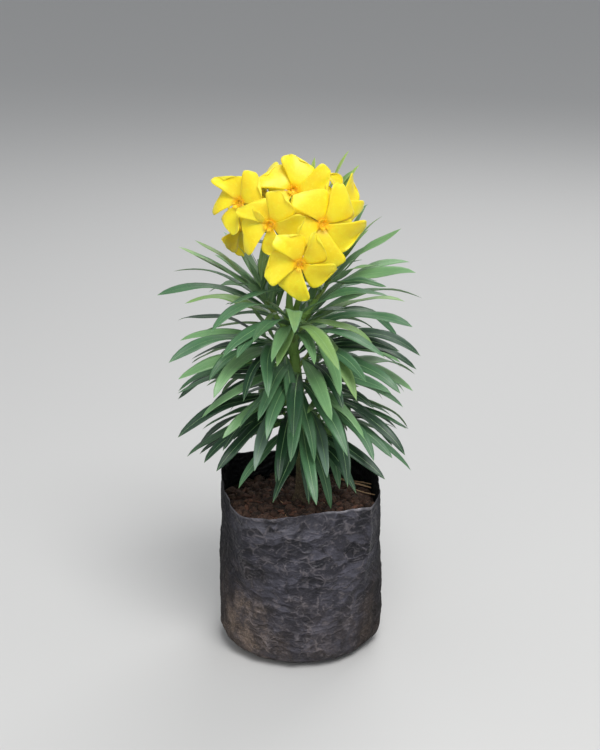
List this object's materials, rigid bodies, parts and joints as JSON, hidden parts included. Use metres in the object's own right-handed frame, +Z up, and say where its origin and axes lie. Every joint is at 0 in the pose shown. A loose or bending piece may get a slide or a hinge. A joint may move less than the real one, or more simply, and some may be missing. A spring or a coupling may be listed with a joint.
{
  "type": "potted oleander",
  "caption": "Young oleander with a head of yellow flowers and whorls of narrow leaves, growing in a soil-filled black plastic nursery bag.",
  "frame": {"origin": "middle of the bag's flat underside", "axes": "+Z up along the trunk, -Y towards the plant's front, the side of the lowest blossom, +X to the right seen from the front"},
  "size_m": [0.2043, 0.2137, 0.3972],
  "materials": {
    "bag_film": "semi-matte black film, crinkled, with brown dust on its lower third",
    "soil": "dark, moist, crumbly earth",
    "bark": "smooth young bark, olive green turning to brown, with leaf scars",
    "leaves": "leathery, half-shiny green with a pale midrib",
    "petals": "soft lemon yellow, golden at the throat"
  },
  "bodies": {
    "root": {"nursery_bag": "bag_film", "soil": "soil", "trunk": "bark", "flower_stalk": "bark", "flower_head": "petals", "bough_left": "bark", "bough_right": "bark", "bough_back": "bark", "leaves_of_left_bough": "leaves", "leaves_of_right_bough": "leaves", "leaves_of_back_bough": "leaves", "leaves_top_front": "leaves", "leaves_top_back_right": "leaves", "leaves_top_back_left": "leaves", "leaves_upper_front_right": "leaves", "leaves_upper_back": "leaves", "leaves_upper_front_left": "leaves", "leaves_middle_front": "leaves", "leaves_middle_back_right": "leaves", "leaves_middle_back_left": "leaves", "leaves_low_front_right": "leaves", "leaves_low_back": "leaves", "leaves_low_front_left": "leaves", "leaves_lowest_front": "leaves", "leaves_lowest_back_right": "leaves", "leaves_lowest_back_left": "leaves"}
  },
  "joints": []
}
